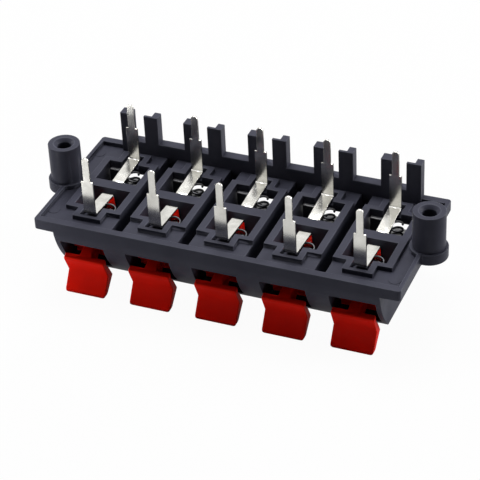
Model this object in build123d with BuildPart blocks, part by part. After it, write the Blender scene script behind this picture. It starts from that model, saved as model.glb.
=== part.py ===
from build123d import *
import os
from math import cos, pi, sin

os.makedirs("parts", exist_ok=True)

# Push-lever speaker terminal strip, millimetres.
# X runs along the strip, Y across it, Z from the levers' lips up to the pins.
# The strip lies on the lips of its levers, so Z = 0 is the table.

# Layout
poles = 5
pitch = 13.0

# Mounting plate with its raised rim
plate_length = 70.0
plate_width = 30.0
floor_thickness = 1.2
rim_height = 0.9
end_rim = 0.75
side_rim = 1.5
plate_corner = 0.6

# Rounded body in front of the plate
body_depth = 9.3
body_end_wall = 1.2
body_wall = 1.5
front_wall = 1.2
front_inset = 4.9
body_bulge = 0.85
foot_inset_share = 0.5
centre_wall = 2.4
lip_drop = 3.9
hollow_reach = 11.0

# Raised frame round each pole
frame_width = 11.0
frame_length = 17.5
tongue_width = 5.7
tongue_reach = 11.5
opening_half_width = 4.1
opening_reach = 7.65
slot_width = 3.3
slot_reach = 10.7
groove_floor = 1.6
side_window_drop = 4.3
side_window_half_width = 4.3

# Comb of posts along the far edge
comb_thickness = 2.1
comb_height = 1.7
post_height = 7.55
left_post_start = -3.9
left_post_width = 2.3
right_post_start = 0.95
right_post_width = 2.85
right_post_web = 0.6
right_post_block = 1.35

# Screw bosses
screw_offset = 0.4
boss_diameter = 6.0
boss_height = 7.3
lug_diameter = 7.0
screw_hole_diameter = 2.6
countersink_diameter = 3.9

# Wire entries in the front face
wire_hole_diameter = 2.8
wire_hole_distance = 6.6

# Terminals, one bent strip each
strip_thickness = 0.4
strip_width = 2.3
pin_distance = 9.75
pin_height = 11.7
pin_width = 1.3
shoulder_height = 6.65
strip_end = 1.96
strip_fall = 0.54
blade_lean = 0.5
blade_lean_drop = 4.0
strip_top_drop = 0.15
foot_reach = 4.7
foot_gap = 0.3
foot_lip = 1.4
strip_bend = 0.5

# Levers
lever_clearance = 0.25
pivot_distance = 9.3
pivot_drop = 7.0
barrel_radius = 1.15
barrel_sides = 8
stem_root = 1.1
trunnion_radius = 0.8
trunnion_length = 0.9
trunnion_clearance = 0.06
bearing_sides = 8
tail_inner = 6.5
tail_thickness = 0.85
tail_top_drop = 1.2
tail_edge = 0.4
arm_inner = 4.0
arm_top_drop = 5.2
arm_thickness = 1.0
ridge_reach = 14.2
ridge_drop = 7.85
ridge_flat = 0.5
shelf_depth = 1.1
shelf_rise = 0.45
web_drop = 8.6
web_thickness = 1.3
paddle_back = 12.0
kink_reach = 12.8
kink_drop = 11.5
lip_reach = 14.95
lip_round = 0.3
lip_thickness = 1.0
paddle_half_width = 4.05
paddle_gap = 0.7
stem_top_width = 1.7
stem_foot_width = 2.6
stem_top_drop = 6.4
stem_top_reach = 12.2
jaw_reach = 8.1
jaw_drop = 9.6
jaw_thickness = 1.2

# Return springs
wire_diameter = 0.42
coil_diameter = 2.7
coil_turns = 3.5
end_turn = 0.5
coil_sides = 8
wire_sides = 5
spring_offset = 1.65
spring_distance = 5.35
spring_end_gap = 0.06

# Levels and distances that follow
z_front = lip_drop
z_plate = z_front + body_depth
z_floor = z_plate + floor_thickness
z_rim = z_floor + rim_height
half_width = plate_width / 2
screw_spacing = plate_length + 2 * screw_offset
pole_x = [(i - (poles - 1) / 2) * pitch for i in range(poles)]
body_half_length = pole_x[-1] + opening_half_width + body_end_wall
front_half = half_width - front_inset
groove_width = pitch - frame_width
pivot_z = z_rim - pivot_drop
comb_front = half_width - comb_thickness
lever_half_width = opening_half_width - lever_clearance


# Cross-section of the rounded body, or of the hollow inside it
def body_section(inset, bottom):
    side = half_width - inset
    foot = front_half - inset * foot_inset_share
    with BuildSketch(Plane.YZ) as section:
        with BuildLine():
            middle = ((side + foot) / 2 + body_bulge, (z_plate + bottom) / 2)
            ThreePointArc((side, z_plate), middle, (foot, bottom))
            ThreePointArc((-foot, bottom), (-middle[0], middle[1]), (-side, z_plate))
            Line((foot, bottom), (-foot, bottom))
            Line((-side, z_plate), (side, z_plate))
        make_face()
    return section.sketch


# Housing: plate, rim, body, raised frames, comb and bosses in one moulding
outer_section = body_section(0, z_front)
hollow_section = body_section(body_wall, z_front + front_wall)
groove_section = body_section(body_wall, z_front + groove_floor)

with BuildPart() as hollows:
    with BuildSketch(Plane.XY.offset(z_front)):
        with GridLocations(pitch, hollow_reach + centre_wall / 2, poles, 2):
            Rectangle(2 * opening_half_width, hollow_reach - centre_wall / 2)
    extrude(amount=z_rim)
    add(extrude(hollow_section, amount=body_half_length, both=True, mode=Mode.PRIVATE), mode=Mode.INTERSECT)

with BuildPart() as housing:
    # plate and rim
    with BuildSketch(Plane.XY.offset(z_plate)):
        RectangleRounded(plate_length, plate_width, plate_corner)
    extrude(amount=z_rim - z_plate)
    with BuildSketch(Plane.XY.offset(z_floor)):
        Rectangle(plate_length - 2 * end_rim, plate_width - 2 * side_rim)
    extrude(amount=rim_height, mode=Mode.SUBTRACT)
    # rounded body
    add(extrude(outer_section, amount=body_half_length, both=True, mode=Mode.PRIVATE))
    # screw lugs and bosses
    with BuildSketch(Plane.XY.offset(z_plate)):
        with GridLocations(screw_spacing, 0, 2, 1):
            Circle(lug_diameter / 2)
    extrude(amount=z_rim - z_plate)
    with BuildSketch(Plane.XY.offset(z_rim)):
        with GridLocations(screw_spacing, 0, 2, 1):
            Circle(boss_diameter / 2)
    extrude(amount=boss_height)
    # raised frames with a narrow tongue at each end
    with BuildSketch(Plane.XY.offset(z_floor)):
        with GridLocations(pitch, 0, poles, 1):
            Rectangle(frame_width, frame_length)
            Rectangle(tongue_width, 2 * tongue_reach)
    extrude(amount=rim_height)
    # deep grooves between the poles
    groove = extrude(groove_section, amount=groove_width / 2, both=True, mode=Mode.PRIVATE)
    for x in [(a + b) / 2 for a, b in zip(pole_x, pole_x[1:])]:
        with Locations((x, 0, 0)):
            add(groove, mode=Mode.SUBTRACT)
    with BuildSketch(Plane.XY.offset(z_plate)):
        with GridLocations(pitch, 0, poles - 1, 1):
            Rectangle(groove_width, 2 * (half_width - body_wall))
    extrude(amount=floor_thickness, mode=Mode.SUBTRACT)
    # hollow behind each pair of levers, split by the centre wall
    add(hollows.part, mode=Mode.SUBTRACT)
    # openings in the raised frames, wide over the lever and narrow round the pin
    with BuildSketch(Plane.XY.offset(z_plate)):
        with GridLocations(pitch, 0, poles, 1):
            for side in (1, -1):
                with Locations((0, side * (centre_wall / 2 + opening_reach) / 2)):
                    Rectangle(2 * opening_half_width, opening_reach - centre_wall / 2)
                with Locations((0, side * (opening_reach + slot_reach) / 2)):
                    Rectangle(slot_width, slot_reach - opening_reach)
    extrude(amount=z_rim - z_plate, mode=Mode.SUBTRACT)
    # side windows for the levers in the rounded walls
    with BuildSketch(Plane.XY.offset(z_front + front_wall)):
        with GridLocations(pitch, 0, poles, 1):
            for side in (1, -1):
                with Locations((0, side * (front_half - body_wall + half_width) / 2)):
                    Rectangle(2 * side_window_half_width, half_width + body_wall - front_half)
    extrude(amount=z_rim - side_window_drop - z_front - front_wall, mode=Mode.SUBTRACT)
    # wire entries in the front face
    with BuildSketch(Plane.XY.offset(z_front)):
        with GridLocations(pitch, 2 * wire_hole_distance, poles, 2):
            Circle(wire_hole_diameter / 2)
    extrude(amount=front_wall, mode=Mode.SUBTRACT)
    # eight-sided bearing holes for the levers' trunnions in the cell walls
    with BuildSketch(Plane.YZ):
        with Locations((pivot_distance, pivot_z), (-pivot_distance, pivot_z)):
            RegularPolygon(trunnion_radius + trunnion_clearance, bearing_sides, major_radius=False)
    trunnion_reach = lever_half_width + trunnion_length + trunnion_clearance
    bearing = extrude(amount=trunnion_reach, both=True, mode=Mode.PRIVATE)
    for x in pole_x:
        with Locations((x, 0, 0)):
            add(bearing, mode=Mode.SUBTRACT)
    # comb wall with a pair of posts behind each far pin
    with BuildSketch(Plane.XY.offset(z_plate)):
        with Locations(((pole_x[0] + left_post_start + pole_x[-1] + right_post_start + right_post_width) / 2,
                        half_width - comb_thickness / 2)):
            Rectangle(pole_x[-1] - pole_x[0] + right_post_start + right_post_width - left_post_start,
                      comb_thickness)
    extrude(amount=z_rim + comb_height - z_plate)
    with BuildSketch(Plane.XY.offset(z_rim + comb_height)):
        with GridLocations(pitch, 0, poles, 1):
            with Locations((left_post_start, comb_front)):
                Rectangle(left_post_width, comb_thickness, align=(Align.MIN, Align.MIN))
            with Locations((right_post_start, comb_front)):
                Rectangle(right_post_width, right_post_web, align=(Align.MIN, Align.MIN))
            with Locations((right_post_start + right_post_width, comb_front)):
                Rectangle(right_post_block, comb_thickness, align=(Align.MAX, Align.MIN))
    extrude(amount=post_height - comb_height)
    # screw holes
    with BuildSketch(Plane.XY.offset(z_plate)):
        with GridLocations(screw_spacing, 0, 2, 1):
            Circle(screw_hole_diameter / 2)
    extrude(amount=z_rim + boss_height - z_plate, mode=Mode.SUBTRACT)
    for x in (-screw_spacing / 2, screw_spacing / 2):
        with Locations((x, 0, z_rim + boss_height)):
            Cone(screw_hole_diameter / 2, countersink_diameter / 2,
                 (countersink_diameter - screw_hole_diameter) / 2,
                 align=(Align.CENTER, Align.CENTER, Align.MAX), mode=Mode.SUBTRACT)
housing.part.label = "housing"
export_step(housing.part, "parts/housing.step")


# Terminal: pin, shouldered post, strip across the opening, blade and foot
def terminal_shape():
    z_top = z_rim - strip_top_drop - strip_thickness / 2
    z_foot = z_front + front_wall + foot_gap + strip_thickness / 2
    with BuildPart() as shape:
        with BuildSketch(Plane.YZ):
            with BuildLine():
                FilletPolyline((-pin_distance, z_rim + pin_height),
                               (-pin_distance, z_top),
                               (-strip_end, z_top - strip_fall),
                               (-strip_end + blade_lean, z_rim - blade_lean_drop),
                               radius=strip_bend)
                Polyline((-strip_end + blade_lean, z_rim - blade_lean_drop),
                         (-strip_end + blade_lean, z_foot),
                         (-foot_reach, z_foot),
                         (-foot_reach, z_foot + foot_lip))
            trace(line_width=strip_thickness)
        extrude(amount=strip_width / 2, both=True)
        with BuildSketch(Plane.XZ):
            with Locations((0, z_rim + shoulder_height)):
                Rectangle(strip_width, z_rim + shoulder_height, align=(Align.CENTER, Align.MAX))
                Rectangle(pin_width, pin_height - shoulder_height - pin_width / 2,
                          align=(Align.CENTER, Align.MIN))
            with Locations((0, z_rim + pin_height - pin_width / 2)):
                Circle(pin_width / 2)
        extrude(amount=half_width, both=True, mode=Mode.INTERSECT)
    return shape.part


# Lever: paddle with a flared lip, stem, pivot barrel with trunnions, arm, tail and jaw
def lever_shape():
    z_ridge = z_rim - ridge_drop
    z_arm = z_rim - arm_top_drop
    z_jaw = z_rim - jaw_drop
    z_web = z_rim - web_drop
    z_stem = z_rim - stem_top_drop
    z_back = z_web - web_thickness
    with BuildPart() as stem:
        with BuildSketch(Plane.YZ):
            with BuildLine():
                Polyline((-pivot_distance, pivot_z),
                         (-pivot_distance, pivot_z + stem_root),
                         (-stem_top_reach, z_stem),
                         (-ridge_reach + ridge_flat, z_ridge),
                         (-ridge_reach + shelf_depth, z_web),
                         (-paddle_back, z_back),
                         (-pivot_distance, pivot_z - stem_root), close=True)
            make_face()
        extrude(amount=stem_foot_width / 2, both=True)
        with BuildSketch(Plane.XZ):
            with BuildLine():
                Polyline((-stem_foot_width / 2, z_back),
                         (stem_foot_width / 2, z_back),
                         (stem_foot_width / 2, z_ridge),
                         (stem_top_width / 2, z_stem),
                         (stem_top_width / 2, z_arm),
                         (-stem_top_width / 2, z_arm),
                         (-stem_top_width / 2, z_stem),
                         (-stem_foot_width / 2, z_ridge), close=True)
            make_face()
        extrude(amount=half_width, both=True, mode=Mode.INTERSECT)
    with BuildPart() as shape:
        # paddle with its ridge, shelf and flared lip
        with BuildSketch(Plane.YZ):
            with BuildLine():
                Polyline((-ridge_reach + shelf_depth, z_ridge + shelf_rise),
                         (-ridge_reach, z_ridge),
                         (-ridge_reach, z_ridge - ridge_flat),
                         (-kink_reach, z_rim - kink_drop),
                         (-lip_reach, lip_round),
                         (-lip_reach + lip_round, 0),
                         (-lip_reach + lip_thickness, 0),
                         (-front_half - paddle_gap, z_front - paddle_gap),
                         (-paddle_back, z_back),
                         (-ridge_reach + shelf_depth, z_web), close=True)
            make_face()
        extrude(amount=paddle_half_width, both=True)
        # pivot barrel with flats
        with BuildSketch(Plane.YZ):
            with Locations((-pivot_distance, pivot_z)):
                RegularPolygon(barrel_radius, barrel_sides, major_radius=False)
            # arm inside the cell
            with BuildLine():
                Polyline((-arm_inner, z_arm),
                         (-pivot_distance + barrel_radius, z_arm),
                         (-pivot_distance, pivot_z + barrel_radius),
                         (-pivot_distance, pivot_z),
                         (-pivot_distance + barrel_radius, z_arm - arm_thickness),
                         (-arm_inner, z_arm - arm_thickness), close=True)
            make_face()
            # jaw at the wire entry
            with BuildLine():
                Polyline((-pivot_distance + barrel_radius, pivot_z),
                         (-jaw_reach, z_jaw),
                         (-jaw_reach - jaw_thickness, z_jaw),
                         (-pivot_distance, pivot_z), close=True)
            make_face()
        extrude(amount=lever_half_width, both=True)
        add(stem.part)
        # tail up to the opening, on the left half only
        with BuildSketch(Plane.XY.offset(z_arm)):
            with Locations((-tail_edge, -tail_inner)):
                Rectangle(lever_half_width - tail_edge, tail_thickness, align=(Align.MAX, Align.MAX))
        extrude(amount=arm_top_drop - tail_top_drop)
        with BuildSketch(Plane.YZ):
            with Locations((-pivot_distance, pivot_z)):
                Circle(trunnion_radius)
        extrude(amount=lever_half_width + trunnion_length, both=True)
    return shape.part


# Return spring between the strip and the lever's arm, an open coil of short straight runs.
# Its last half turn rises beside the strip.
def spring_shape():
    z_low = z_rim - arm_top_drop + spring_end_gap + wire_diameter / 2
    strip_slope = strip_fall / (pin_distance - strip_end)
    strip_under = strip_top_drop + strip_thickness + strip_slope * (pin_distance - spring_distance)
    z_under = z_rim - strip_under - spring_end_gap - wire_diameter / 2 - strip_slope * coil_diameter / 2
    z_high = z_low + (z_under - z_low) * coil_turns / (coil_turns - end_turn)
    coil_radius = (coil_diameter - wire_diameter) / 2
    steps = round(coil_turns * coil_sides)
    corners = [(spring_offset - coil_radius * cos(2 * pi * k / coil_sides),
                -spring_distance - coil_radius * sin(2 * pi * k / coil_sides),
                z_low + (z_high - z_low) * k / steps) for k in range(steps + 1)]
    with BuildPart() as shape:
        with BuildLine() as coil:
            Polyline(*corners)
        with BuildSketch(Plane(origin=coil.line @ 0, z_dir=coil.line % 0)):
            RegularPolygon(wire_diameter / 2, wire_sides)
        sweep(path=coil.line, transition=Transition.RIGHT)
    return shape.part


# One terminal, lever and spring at each side of every pole
for kind, shape in (("terminal", terminal_shape()), ("lever", lever_shape()), ("spring", spring_shape())):
    for side in ("near", "far"):
        for number, x in enumerate(pole_x, start=1):
            with BuildPart() as piece:
                with Locations((x, 0, 0)):
                    add(shape)
                if side == "far":
                    mirror(about=Plane.XZ, mode=Mode.REPLACE)
            piece.part.label = f"{kind}_{side}_{number}"
            export_step(piece.part, f"parts/{kind}_{side}_{number}.step")
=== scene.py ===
import math

import bmesh
import bpy
from mathutils import Matrix, Vector


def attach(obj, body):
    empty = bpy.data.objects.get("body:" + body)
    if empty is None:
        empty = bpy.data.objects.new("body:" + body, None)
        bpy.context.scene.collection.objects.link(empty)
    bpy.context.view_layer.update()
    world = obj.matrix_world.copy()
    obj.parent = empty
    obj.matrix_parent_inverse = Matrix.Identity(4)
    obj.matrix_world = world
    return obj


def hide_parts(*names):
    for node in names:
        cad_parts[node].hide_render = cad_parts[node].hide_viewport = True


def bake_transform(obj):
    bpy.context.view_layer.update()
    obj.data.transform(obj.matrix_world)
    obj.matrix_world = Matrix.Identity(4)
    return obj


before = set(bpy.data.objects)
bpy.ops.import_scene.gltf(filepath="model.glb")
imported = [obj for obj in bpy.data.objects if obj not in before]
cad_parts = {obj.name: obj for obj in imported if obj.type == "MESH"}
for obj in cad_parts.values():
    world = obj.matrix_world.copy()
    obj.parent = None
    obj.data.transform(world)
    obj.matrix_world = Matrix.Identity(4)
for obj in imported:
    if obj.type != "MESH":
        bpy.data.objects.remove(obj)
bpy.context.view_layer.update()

# The housing is one dark ABS moulding: plate, rim, rounded body, raised frames and a comb of posts.
# It comes from a polished steel mould, so its faces have a low satin grain and its edges are slightly round.
housing_edge_radius = 0.00013
moulded_sharp_angle = math.radians(35)
smooth_angle = math.radians(50)


def merged_copy(node):
    """A copy of a solid as one closed skin with whole faces instead of loose triangles."""
    weld_distance = 0.000002
    same_plane_angle = math.radians(1.0)
    skin = bmesh.new()
    skin.from_mesh(node.data)
    bmesh.ops.remove_doubles(skin, verts=skin.verts, dist=weld_distance)
    bmesh.ops.dissolve_limit(skin, angle_limit=same_plane_angle, use_dissolve_boundaries=False,
                             verts=skin.verts, edges=skin.edges, delimit={"NORMAL"})
    return skin


def round_sharp_edges(skin, radius, steps, least_angle):
    """Rounds the outer edges that are sharper than an angle, and marks the new faces, which the finish paints
    paler as edge highlight and wear.
    """
    shortest_edge = 0.00002
    highlit_and_worn = skin.faces.layers.float.new("rounded")
    sharp = [edge for edge in skin.edges if len(edge.link_faces) == 2 and edge.is_convex
             and edge.calc_face_angle() > least_angle and edge.calc_length() > shortest_edge]
    made = bmesh.ops.bevel(skin, geom=sharp, offset=radius, offset_type="OFFSET", segments=steps,
                           profile=0.5, affect="EDGES", clamp_overlap=False, material=-1)
    for face in made["faces"]:
        face[highlit_and_worn] = 1.0


def placed(name, data):
    """A new object in the scene, at the origin."""
    thing = bpy.data.objects.new(name, data)
    bpy.context.scene.collection.objects.link(thing)
    return thing


def finished_piece(name, skin, crease_angle, finish):
    """A piece in its finish from a done skin, smooth but for its creases, with its flats left flat."""
    flat_face_weight = 80
    mesh = bpy.data.meshes.new(name)
    skin.to_mesh(mesh)
    skin.free()
    mesh.shade_smooth()
    mesh.set_sharp_from_angle(angle=crease_angle)
    mesh.materials.append(finish)
    piece = placed(name, mesh)
    flats = piece.modifiers.new("flat faces", "WEIGHTED_NORMAL")
    flats.mode = "FACE_AREA"
    flats.weight = flat_face_weight
    flats.keep_sharp = True
    return piece


def new_finish(name):
    """A new material, with its node tree and its surface shader."""
    finish = bpy.data.materials.new(name)
    finish.use_nodes = True
    return finish, finish.node_tree, finish.node_tree.nodes["Principled BSDF"]


def object_place(tree):
    """The socket that gives a point's place in the piece's own mesh."""
    return tree.nodes.new("ShaderNodeTexCoord").outputs["Object"]


def noise_over(tree, place, scale, detail):
    """Noise over the place that a socket gives."""
    noise = tree.nodes.new("ShaderNodeTexNoise")
    noise.inputs["Scale"].default_value = scale
    noise.inputs["Detail"].default_value = detail
    tree.links.new(place, noise.inputs["Vector"])
    return noise


def group_socket(group, name, side, kind, value=None):
    """Adds one named socket to a node group."""
    socket = group.interface.new_socket(name=name, in_out=side, socket_type=kind)
    if value is not None:
        socket.default_value = value


# Moulded skin, which every plastic piece wears: a fine grain, faint flow clouds and paler rounded edges,
# which are painted edge highlight and wear.
moulded_skin = bpy.data.node_groups.new("moulded skin", "ShaderNodeTree")
group_socket(moulded_skin, "Colour", "INPUT", "NodeSocketColor", (0.05, 0.05, 0.06, 1.0))
group_socket(moulded_skin, "Edge Colour", "INPUT", "NodeSocketColor", (0.08, 0.08, 0.09, 1.0))
group_socket(moulded_skin, "Low Roughness", "INPUT", "NodeSocketFloat", 0.35)
group_socket(moulded_skin, "High Roughness", "INPUT", "NodeSocketFloat", 0.5)
group_socket(moulded_skin, "Grain Size", "INPUT", "NodeSocketFloat", 9000.0)
group_socket(moulded_skin, "Grain Depth", "INPUT", "NodeSocketFloat", 0.3)
group_socket(moulded_skin, "Colour", "OUTPUT", "NodeSocketColor")
group_socket(moulded_skin, "Roughness", "OUTPUT", "NodeSocketFloat")
group_socket(moulded_skin, "Normal", "OUTPUT", "NodeSocketVector")
nodes, links = moulded_skin.nodes, moulded_skin.links
skin_in = nodes.new("NodeGroupInput")
skin_out = nodes.new("NodeGroupOutput")
skin_place = object_place(moulded_skin)

clouds = noise_over(moulded_skin, skin_place, scale=160.0, detail=4.0)
cloud_range = nodes.new("ShaderNodeMapRange")
cloud_range.inputs["From Min"].default_value = 0.35
cloud_range.inputs["From Max"].default_value = 0.7
links.new(clouds.outputs["Fac"], cloud_range.inputs["Value"])
rough_range = nodes.new("ShaderNodeMapRange")
links.new(cloud_range.outputs["Result"], rough_range.inputs["Value"])
links.new(skin_in.outputs["Low Roughness"], rough_range.inputs["To Min"])
links.new(skin_in.outputs["High Roughness"], rough_range.inputs["To Max"])
links.new(rough_range.outputs["Result"], skin_out.inputs["Roughness"])

shade = nodes.new("ShaderNodeMix")
shade.data_type = "RGBA"
shade.blend_type = "MULTIPLY"
shade.inputs["B"].default_value = (0.82, 0.82, 0.84, 1.0)
links.new(cloud_range.outputs["Result"], shade.inputs["Factor"])
links.new(skin_in.outputs["Colour"], shade.inputs["A"])
rounded = nodes.new("ShaderNodeAttribute")
rounded.attribute_name = "rounded"
edge_share = nodes.new("ShaderNodeMath")
edge_share.operation = "MULTIPLY"
edge_share.inputs[1].default_value = 0.6
links.new(rounded.outputs["Fac"], edge_share.inputs[0])
# The rounded edge faces are mixed toward the paler Edge Colour: painted edge highlight and wear.
edge_highlight_and_wear = nodes.new("ShaderNodeMix")
edge_highlight_and_wear.data_type = "RGBA"
links.new(edge_share.outputs["Value"], edge_highlight_and_wear.inputs["Factor"])
links.new(shade.outputs["Result"], edge_highlight_and_wear.inputs["A"])
links.new(skin_in.outputs["Edge Colour"], edge_highlight_and_wear.inputs["B"])
links.new(edge_highlight_and_wear.outputs["Result"], skin_out.inputs["Colour"])

grain = noise_over(moulded_skin, skin_place, scale=9000.0, detail=3.0)
grain.inputs["Roughness"].default_value = 0.6
links.new(skin_in.outputs["Grain Size"], grain.inputs["Scale"])
relief = nodes.new("ShaderNodeBump")
relief.inputs["Distance"].default_value = 0.00002
links.new(skin_in.outputs["Grain Depth"], relief.inputs["Strength"])
links.new(grain.outputs["Fac"], relief.inputs["Height"])
links.new(relief.outputs["Normal"], skin_out.inputs["Normal"])


def moulded_plastic(name, colour, edge_colour, roughness, grain_size, grain_depth, gloss, index):
    """A plastic finish that wears the moulded skin with its own colours and grain."""
    finish, tree, surface = new_finish(name)
    surface.inputs["IOR"].default_value = index
    surface.inputs["Specular IOR Level"].default_value = gloss
    skin = tree.nodes.new("ShaderNodeGroup")
    skin.node_tree = moulded_skin
    skin.inputs["Colour"].default_value = colour
    skin.inputs["Edge Colour"].default_value = edge_colour
    skin.inputs["Low Roughness"].default_value, skin.inputs["High Roughness"].default_value = roughness
    skin.inputs["Grain Size"].default_value = grain_size
    skin.inputs["Grain Depth"].default_value = grain_depth
    tree.links.new(skin.outputs["Colour"], surface.inputs["Base Color"])
    tree.links.new(skin.outputs["Roughness"], surface.inputs["Roughness"])
    tree.links.new(skin.outputs["Normal"], surface.inputs["Normal"])
    return finish


# The paler edge colour paints a highlight and wear on the housing's rounded edges.
housing_plastic = moulded_plastic("dark housing plastic", colour=(0.046, 0.047, 0.065, 1.0),
                                  edge_colour=(0.075, 0.078, 0.100, 1.0), roughness=(0.34, 0.46),
                                  grain_size=9000.0, grain_depth=0.35, gloss=0.10, index=1.35)
housing_skin = merged_copy(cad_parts["housing"])
round_sharp_edges(housing_skin, housing_edge_radius, steps=2, least_angle=moulded_sharp_angle)
housing_moulding = finished_piece("housing_moulding", housing_skin, smooth_angle, housing_plastic)
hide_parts("housing")
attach(housing_moulding, "strip")

# Flat round marks on the plate, left by the ejector pins that push the moulding out of its mould.
# They stand hardly higher than the plate, and their edges are soft.
mark_places = ((-0.0336, 0.0104), (-0.0333, -0.0099), (0.0327, -0.0109), (0.0335, 0.0118))
mark_radius = 0.0011
mark_height = 0.00007
mark_sunk = 0.00003
mark_sides = 40
mark_crease_angle = math.radians(30)
plate_floor = 0.0144
marks = bmesh.new()
for mark_x, mark_y in mark_places:
    disc = bmesh.ops.create_cone(marks, cap_ends=True, segments=mark_sides, radius1=mark_radius,
                                 radius2=mark_radius, depth=mark_height + mark_sunk)["verts"]
    bmesh.ops.translate(marks, verts=disc, vec=(mark_x, mark_y, plate_floor + (mark_height - mark_sunk) / 2))
upper_rims = [edge for edge in marks.edges
              if edge.calc_face_angle() > moulded_sharp_angle and edge.verts[0].co.z > plate_floor]
bmesh.ops.bevel(marks, geom=upper_rims, offset=mark_height / 2, offset_type="OFFSET", segments=2,
                profile=0.5, affect="EDGES", material=-1)
ejector_marks = finished_piece("ejector_marks", marks, mark_crease_angle, housing_plastic)
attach(ejector_marks, "strip")

# Dark plates in the housing plastic under the ten pin slots, just below each bent strip: painted shade, a
# dark sheet that stands in for the shadow deep in each slot.
# They close the slot from below and hide the lever there, and the strip lies over them.
pole_pitch = 0.013
slot_floor_size = (0.0032, 0.00295, 0.0006)
slot_floor_distance = 0.00927
slot_floor_level = 0.01395
slot_floor_round = 0.0001


def pole_middle(number):
    """How far along the strip a pole stands from its middle, with 1 at the left and 5 at the right."""
    return pole_pitch * (number - 3)


floors = bmesh.new()
for facing in (-1, 1):
    for number in range(1, 6):
        bar = bmesh.ops.create_cube(floors, size=1.0)["verts"]
        bmesh.ops.scale(floors, vec=slot_floor_size, verts=bar)
        bmesh.ops.translate(floors, verts=bar,
                            vec=(pole_middle(number), facing * slot_floor_distance, slot_floor_level))
bmesh.ops.bevel(floors, geom=floors.edges[:], offset=slot_floor_round, offset_type="OFFSET", segments=2,
                profile=0.5, affect="EDGES", material=-1)
slot_shade_plates = finished_piece("slot_shade_plates", floors, smooth_angle, housing_plastic)
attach(slot_shade_plates, "strip")

# Ten terminals, each stamped from one tinned brass strip: board pin, shouldered post, strip and contact foot.
# They are bent in a tool, pushed into the slots of the raised frames and held there by their own spring.
strip_edge_radius = 0.00004
strip_sharp_angle = math.radians(50)
rolling_stretch = (9000.0, 500.0, 500.0)


def two_tones(tree, share, dark, light, dark_until=0.0, light_from=1.0):
    """A colour that goes from dark to light with a share from 0 to 1."""
    ramp = tree.nodes.new("ShaderNodeValToRGB")
    low, high = ramp.color_ramp.elements
    low.position, low.color = dark_until, dark
    high.position, high.color = light_from, light
    tree.links.new(share, ramp.inputs["Fac"])
    return ramp.outputs["Color"]


def spread_between(tree, share, lowest, highest):
    """A value that goes from lowest to highest with a share from 0 to 1."""
    spread = tree.nodes.new("ShaderNodeMapRange")
    spread.inputs["To Min"].default_value = lowest
    spread.inputs["To Max"].default_value = highest
    tree.links.new(share, spread.inputs["Value"])
    return spread.outputs["Result"]


tinned_brass, tree, surface = new_finish("bright tinned brass")
surface.inputs["Metallic"].default_value = 1.0
strip_place = object_place(tree)
tarnish = noise_over(tree, strip_place, scale=420.0, detail=5.0).outputs["Fac"]
tin_colour = two_tones(tree, tarnish, dark=(0.60, 0.59, 0.55, 1.0), light=(0.78, 0.77, 0.73, 1.0),
                       dark_until=0.3, light_from=0.7)
tree.links.new(tin_colour, surface.inputs["Base Color"])
tree.links.new(spread_between(tree, tarnish, lowest=0.13, highest=0.26), surface.inputs["Roughness"])
draw_lines = tree.nodes.new("ShaderNodeMapping")
draw_lines.inputs["Scale"].default_value = rolling_stretch
tree.links.new(strip_place, draw_lines.inputs["Vector"])
rolling = noise_over(tree, draw_lines.outputs["Vector"], scale=1.0, detail=3.0)
tin_relief = tree.nodes.new("ShaderNodeBump")
tin_relief.inputs["Strength"].default_value = 0.06
tin_relief.inputs["Distance"].default_value = 0.00001
tree.links.new(rolling.outputs["Fac"], tin_relief.inputs["Height"])
tree.links.new(tin_relief.outputs["Normal"], surface.inputs["Normal"])
for row in ("near", "far"):
    for number in range(1, 6):
        node = f"terminal_{row}_{number}"
        strip_skin = merged_copy(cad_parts[node])
        round_sharp_edges(strip_skin, strip_edge_radius, steps=1, least_angle=strip_sharp_angle)
        strip_piece = finished_piece(f"tinned_{node}", strip_skin, smooth_angle, tinned_brass)
        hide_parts(node)
        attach(strip_piece, "strip")

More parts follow.
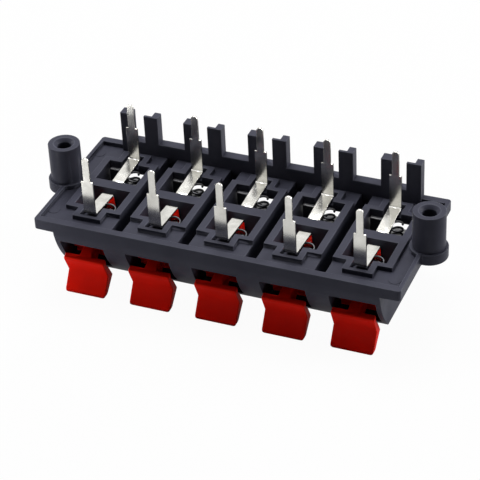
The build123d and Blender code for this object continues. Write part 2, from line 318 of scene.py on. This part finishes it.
# Ten coil springs of hard-drawn steel wire bring the levers back.
# Each is wound cold, and hangs between the bent strip above and the lever's inner arm below.
wire_radius = 0.00021
wire_sides = 12
wire_crease_angle = math.radians(60)
coil_radius = 0.00114
steps_per_turn = 28
spring_side = 0.00165
spring_distance = 0.00535
spring_foot = 0.01037
spring_rise_per_turn = 0.001237
spring_steel, tree, surface = new_finish("spring steel wire")
surface.inputs["Metallic"].default_value = 1.0
wire_scale = noise_over(tree, object_place(tree), scale=2500.0, detail=4.0).outputs["Fac"]
wire_colour = two_tones(tree, wire_scale, dark=(0.025, 0.025, 0.028, 1.0), light=(0.075, 0.075, 0.08, 1.0))
tree.links.new(wire_colour, surface.inputs["Base Color"])
tree.links.new(spread_between(tree, wire_scale, lowest=0.22, highest=0.42), surface.inputs["Roughness"])
for row, facing, coil_turns in (("near", -1, 3.0), ("far", 1, 3.5)):
    for number in range(1, 6):
        pole = pole_middle(number)
        coil = bmesh.new()
        bmesh.ops.create_circle(coil, segments=wire_sides, radius=wire_radius)
        bmesh.ops.rotate(coil, verts=coil.verts, cent=(0, 0, 0),
                         matrix=Matrix.Rotation(math.radians(90), 3, "X"))
        bmesh.ops.translate(coil, verts=coil.verts,
                            vec=(pole + spring_side - coil_radius, -spring_distance, spring_foot))
        bmesh.ops.spin(coil, geom=coil.verts[:] + coil.edges[:], axis=(0, 0, 1),
                       cent=(pole + spring_side, -spring_distance, 0),
                       dvec=(0, 0, spring_rise_per_turn / steps_per_turn),
                       angle=2 * math.pi * coil_turns, steps=round(coil_turns * steps_per_turn),
                       use_duplicate=False)
        wire_ends = [edge for edge in coil.edges if edge.is_boundary]
        bmesh.ops.holes_fill(coil, edges=wire_ends, sides=wire_sides)
        bmesh.ops.scale(coil, vec=(1, -facing, 1), verts=coil.verts)
        bmesh.ops.recalc_face_normals(coil, faces=coil.faces)
        mesh = bpy.data.meshes.new(f"wound_spring_{row}_{number}")
        coil.to_mesh(mesh)
        coil.free()
        mesh.shade_smooth()
        mesh.set_sharp_from_angle(angle=wire_crease_angle)
        mesh.materials.append(spring_steel)
        spring = placed(mesh.name, mesh)
        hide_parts(f"spring_{row}_{number}")
        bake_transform(spring)

# Five red and five black push levers of glossy nylon, each turning on two moulded trunnions.
# A flared lip with round lower corners takes the finger, a tapered stem joins it to the pivot,
# and the tail shows in the opening.
lever_edge_radius = 0.00022
lip_half_width = 0.00405
lip_corner_radius = 0.0008
lip_corner_angles = (9, 27, 45, 63, 81)


def round_lip_corners(lever, middle):
    """Cuts the two lower corners of a lever's lip round, with planes that touch an arc."""
    cut_tolerance = 0.0000001
    for side in (-1, 1):
        arc_centre = Vector((middle + side * (lip_half_width - lip_corner_radius), 0.0, lip_corner_radius))
        for angle in lip_corner_angles:
            outward = Vector((side * math.cos(math.radians(angle)), 0.0, -math.sin(math.radians(angle))))
            bmesh.ops.bisect_plane(lever, geom=lever.verts[:] + lever.edges[:] + lever.faces[:],
                                   dist=cut_tolerance, plane_co=arc_centre + outward * lip_corner_radius,
                                   plane_no=outward, clear_outer=True)
            cut_edges = [edge for edge in lever.edges if edge.is_boundary]
            bmesh.ops.holes_fill(lever, edges=cut_edges, sides=0)


# The paler edge colours paint a highlight and wear on the levers' rounded edges.
red_nylon = moulded_plastic("red lever plastic", colour=(0.76, 0.0089, 0.0026, 1.0),
                            edge_colour=(0.80, 0.019, 0.008, 1.0), roughness=(0.26, 0.38),
                            grain_size=5000.0, grain_depth=0.15, gloss=0.10, index=1.25)
black_nylon = moulded_plastic("black lever plastic", colour=(0.034, 0.034, 0.038, 1.0),
                              edge_colour=(0.052, 0.052, 0.058, 1.0), roughness=(0.26, 0.38),
                              grain_size=5000.0, grain_depth=0.15, gloss=0.5, index=1.5)
for row, slot_name, plastic in (("near", "red_plastic", red_nylon), ("far", "black_plastic", black_nylon)):
    for number in range(1, 6):
        node = f"lever_{row}_{number}"
        lever_skin = merged_copy(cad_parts[node])
        round_lip_corners(lever_skin, pole_middle(number))
        round_sharp_edges(lever_skin, lever_edge_radius, steps=3, least_angle=moulded_sharp_angle)
        lever_piece = finished_piece(f"moulded_{node}", lever_skin, smooth_angle, plastic)
        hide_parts(node)
        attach(lever_piece, f"{node}_body")

# The strip lies on a plain white table in front of a white ground, as a small object on a light table.
# The table keeps a faint shadow, and polished metal sees the same white all round.
table_size = 1.6


def share_seen(tree, shares):
    """The share of white for the kind of ray that looks, and the largest where it is of two kinds."""
    seen_by = tree.nodes.new("ShaderNodeLightPath")
    largest = None
    for ray, share in shares:
        ray_share = tree.nodes.new("ShaderNodeMath")
        ray_share.operation = "MULTIPLY"
        ray_share.inputs[1].default_value = share
        tree.links.new(seen_by.outputs[ray], ray_share.inputs[0])
        if largest is None:
            largest = ray_share
            continue
        larger = tree.nodes.new("ShaderNodeMath")
        larger.operation = "MAXIMUM"
        tree.links.new(largest.outputs["Value"], larger.inputs[0])
        tree.links.new(ray_share.outputs["Value"], larger.inputs[1])
        largest = larger
    return largest.outputs["Value"]


def show_mix(tree, output, share, lit, white):
    """Shows a lit shader mixed with a white one by a share, at the tree's output node."""
    mix = tree.nodes.new("ShaderNodeMixShader")
    tree.links.new(share, mix.inputs["Fac"])
    tree.links.new(lit, mix.inputs[1])
    tree.links.new(white, mix.inputs[2])
    tree.links.new(mix.outputs["Shader"], tree.nodes[output].inputs["Surface"])


white_board, tree, surface = new_finish("white table board")
surface.inputs["Roughness"].default_value = 0.8
surface.inputs["Specular IOR Level"].default_value = 0.0
board_grain = noise_over(tree, object_place(tree), scale=60.0, detail=2.0).outputs["Fac"]
board_colour = two_tones(tree, board_grain, dark=(0.56, 0.56, 0.56, 1.0), light=(0.62, 0.62, 0.62, 1.0))
tree.links.new(board_colour, surface.inputs["Base Color"])
white_glow = tree.nodes.new("ShaderNodeEmission")
white_glow.inputs["Strength"].default_value = 1.0
glow_share = share_seen(tree, (("Is Camera Ray", 0.96), ("Is Glossy Ray", 0.4),
                               ("Is Transmission Ray", 0.93)))
show_mix(tree, "Material Output", glow_share, surface.outputs["BSDF"], white_glow.outputs["Emission"])
sheet = bmesh.new()
bmesh.ops.create_grid(sheet, x_segments=1, y_segments=1, size=table_size / 2)
table_mesh = bpy.data.meshes.new("white_table")
sheet.to_mesh(table_mesh)
sheet.free()
table_mesh.materials.append(white_board)
table = placed("white_table", table_mesh)

# Soft studio light: a white room, one broad lamp overhead and one weaker lamp at each end.
# A small lamp low at the left lights the first lever from near by.
world = bpy.data.worlds.new("white room")
bpy.context.scene.world = world
world.use_nodes = True
tree = world.node_tree
room = tree.nodes["Background"]
room.inputs["Color"].default_value = (1.0, 1.0, 1.0, 1.0)
room.inputs["Strength"].default_value = 0.02
white_ground = tree.nodes.new("ShaderNodeBackground")
white_ground.inputs["Color"].default_value = (1.0, 1.0, 1.0, 1.0)
white_ground.inputs["Strength"].default_value = 1.0
room_share = share_seen(tree, (("Is Camera Ray", 1.0), ("Is Glossy Ray", 1.0),
                               ("Is Transmission Ray", 1.0)))
show_mix(tree, "World Output", room_share, room.outputs["Background"], white_ground.outputs["Background"])
strip_middle = (0.0, 0.0, 0.012)
first_lever_corner = (-0.029, -0.0155, 0.004)


def soft_lamp(name, place, target, size, power):
    """A square softbox that faces a point on the strip, and that the camera doesn't see."""
    light = bpy.data.lights.new(name, "AREA")
    light.shape = "SQUARE"
    light.size = size
    light.energy = power
    lamp = placed(name, light)
    lamp.location = place
    lamp.rotation_euler = (Vector(target) - Vector(place)).to_track_quat("-Z", "Y").to_euler()
    lamp.visible_camera = False


soft_lamp("overhead_softbox", (-0.12, 0.16, 0.55), strip_middle, size=0.40, power=4.1)
soft_lamp("left_softbox", (-0.42, 0.0, 0.09), strip_middle, size=0.25, power=0.90)
soft_lamp("left_glow", (-0.052, -0.034, 0.004), first_lever_corner, size=0.012, power=0.005)
soft_lamp("right_softbox", (0.40, 0.30, 0.20), strip_middle, size=0.25, power=2.4)

# The camera stands where the photograph was taken, a little to the right in front and above.
# Its lens, place and turn come from a fit to points of the object in the photograph.
camera_data = bpy.data.cameras.new("photo_camera")
camera_data.lens = 148.3
camera_data.sensor_width = 36.0
camera_data.clip_start = 0.01
camera = placed("photo_camera", camera_data)
camera.location = (0.1186, -0.2740, 0.2152)
azimuth, elevation, roll = math.radians(23.54), math.radians(34.69), math.radians(-2.83)
sight = Vector((-math.sin(azimuth) * math.cos(elevation),
                math.cos(azimuth) * math.cos(elevation),
                -math.sin(elevation)))
camera.rotation_euler = sight.to_track_quat("-Z", "Y").to_euler()
camera.rotation_euler.rotate_axis("Z", roll)
bpy.context.scene.camera = camera
bpy.context.scene.view_settings.view_transform = "Standard"
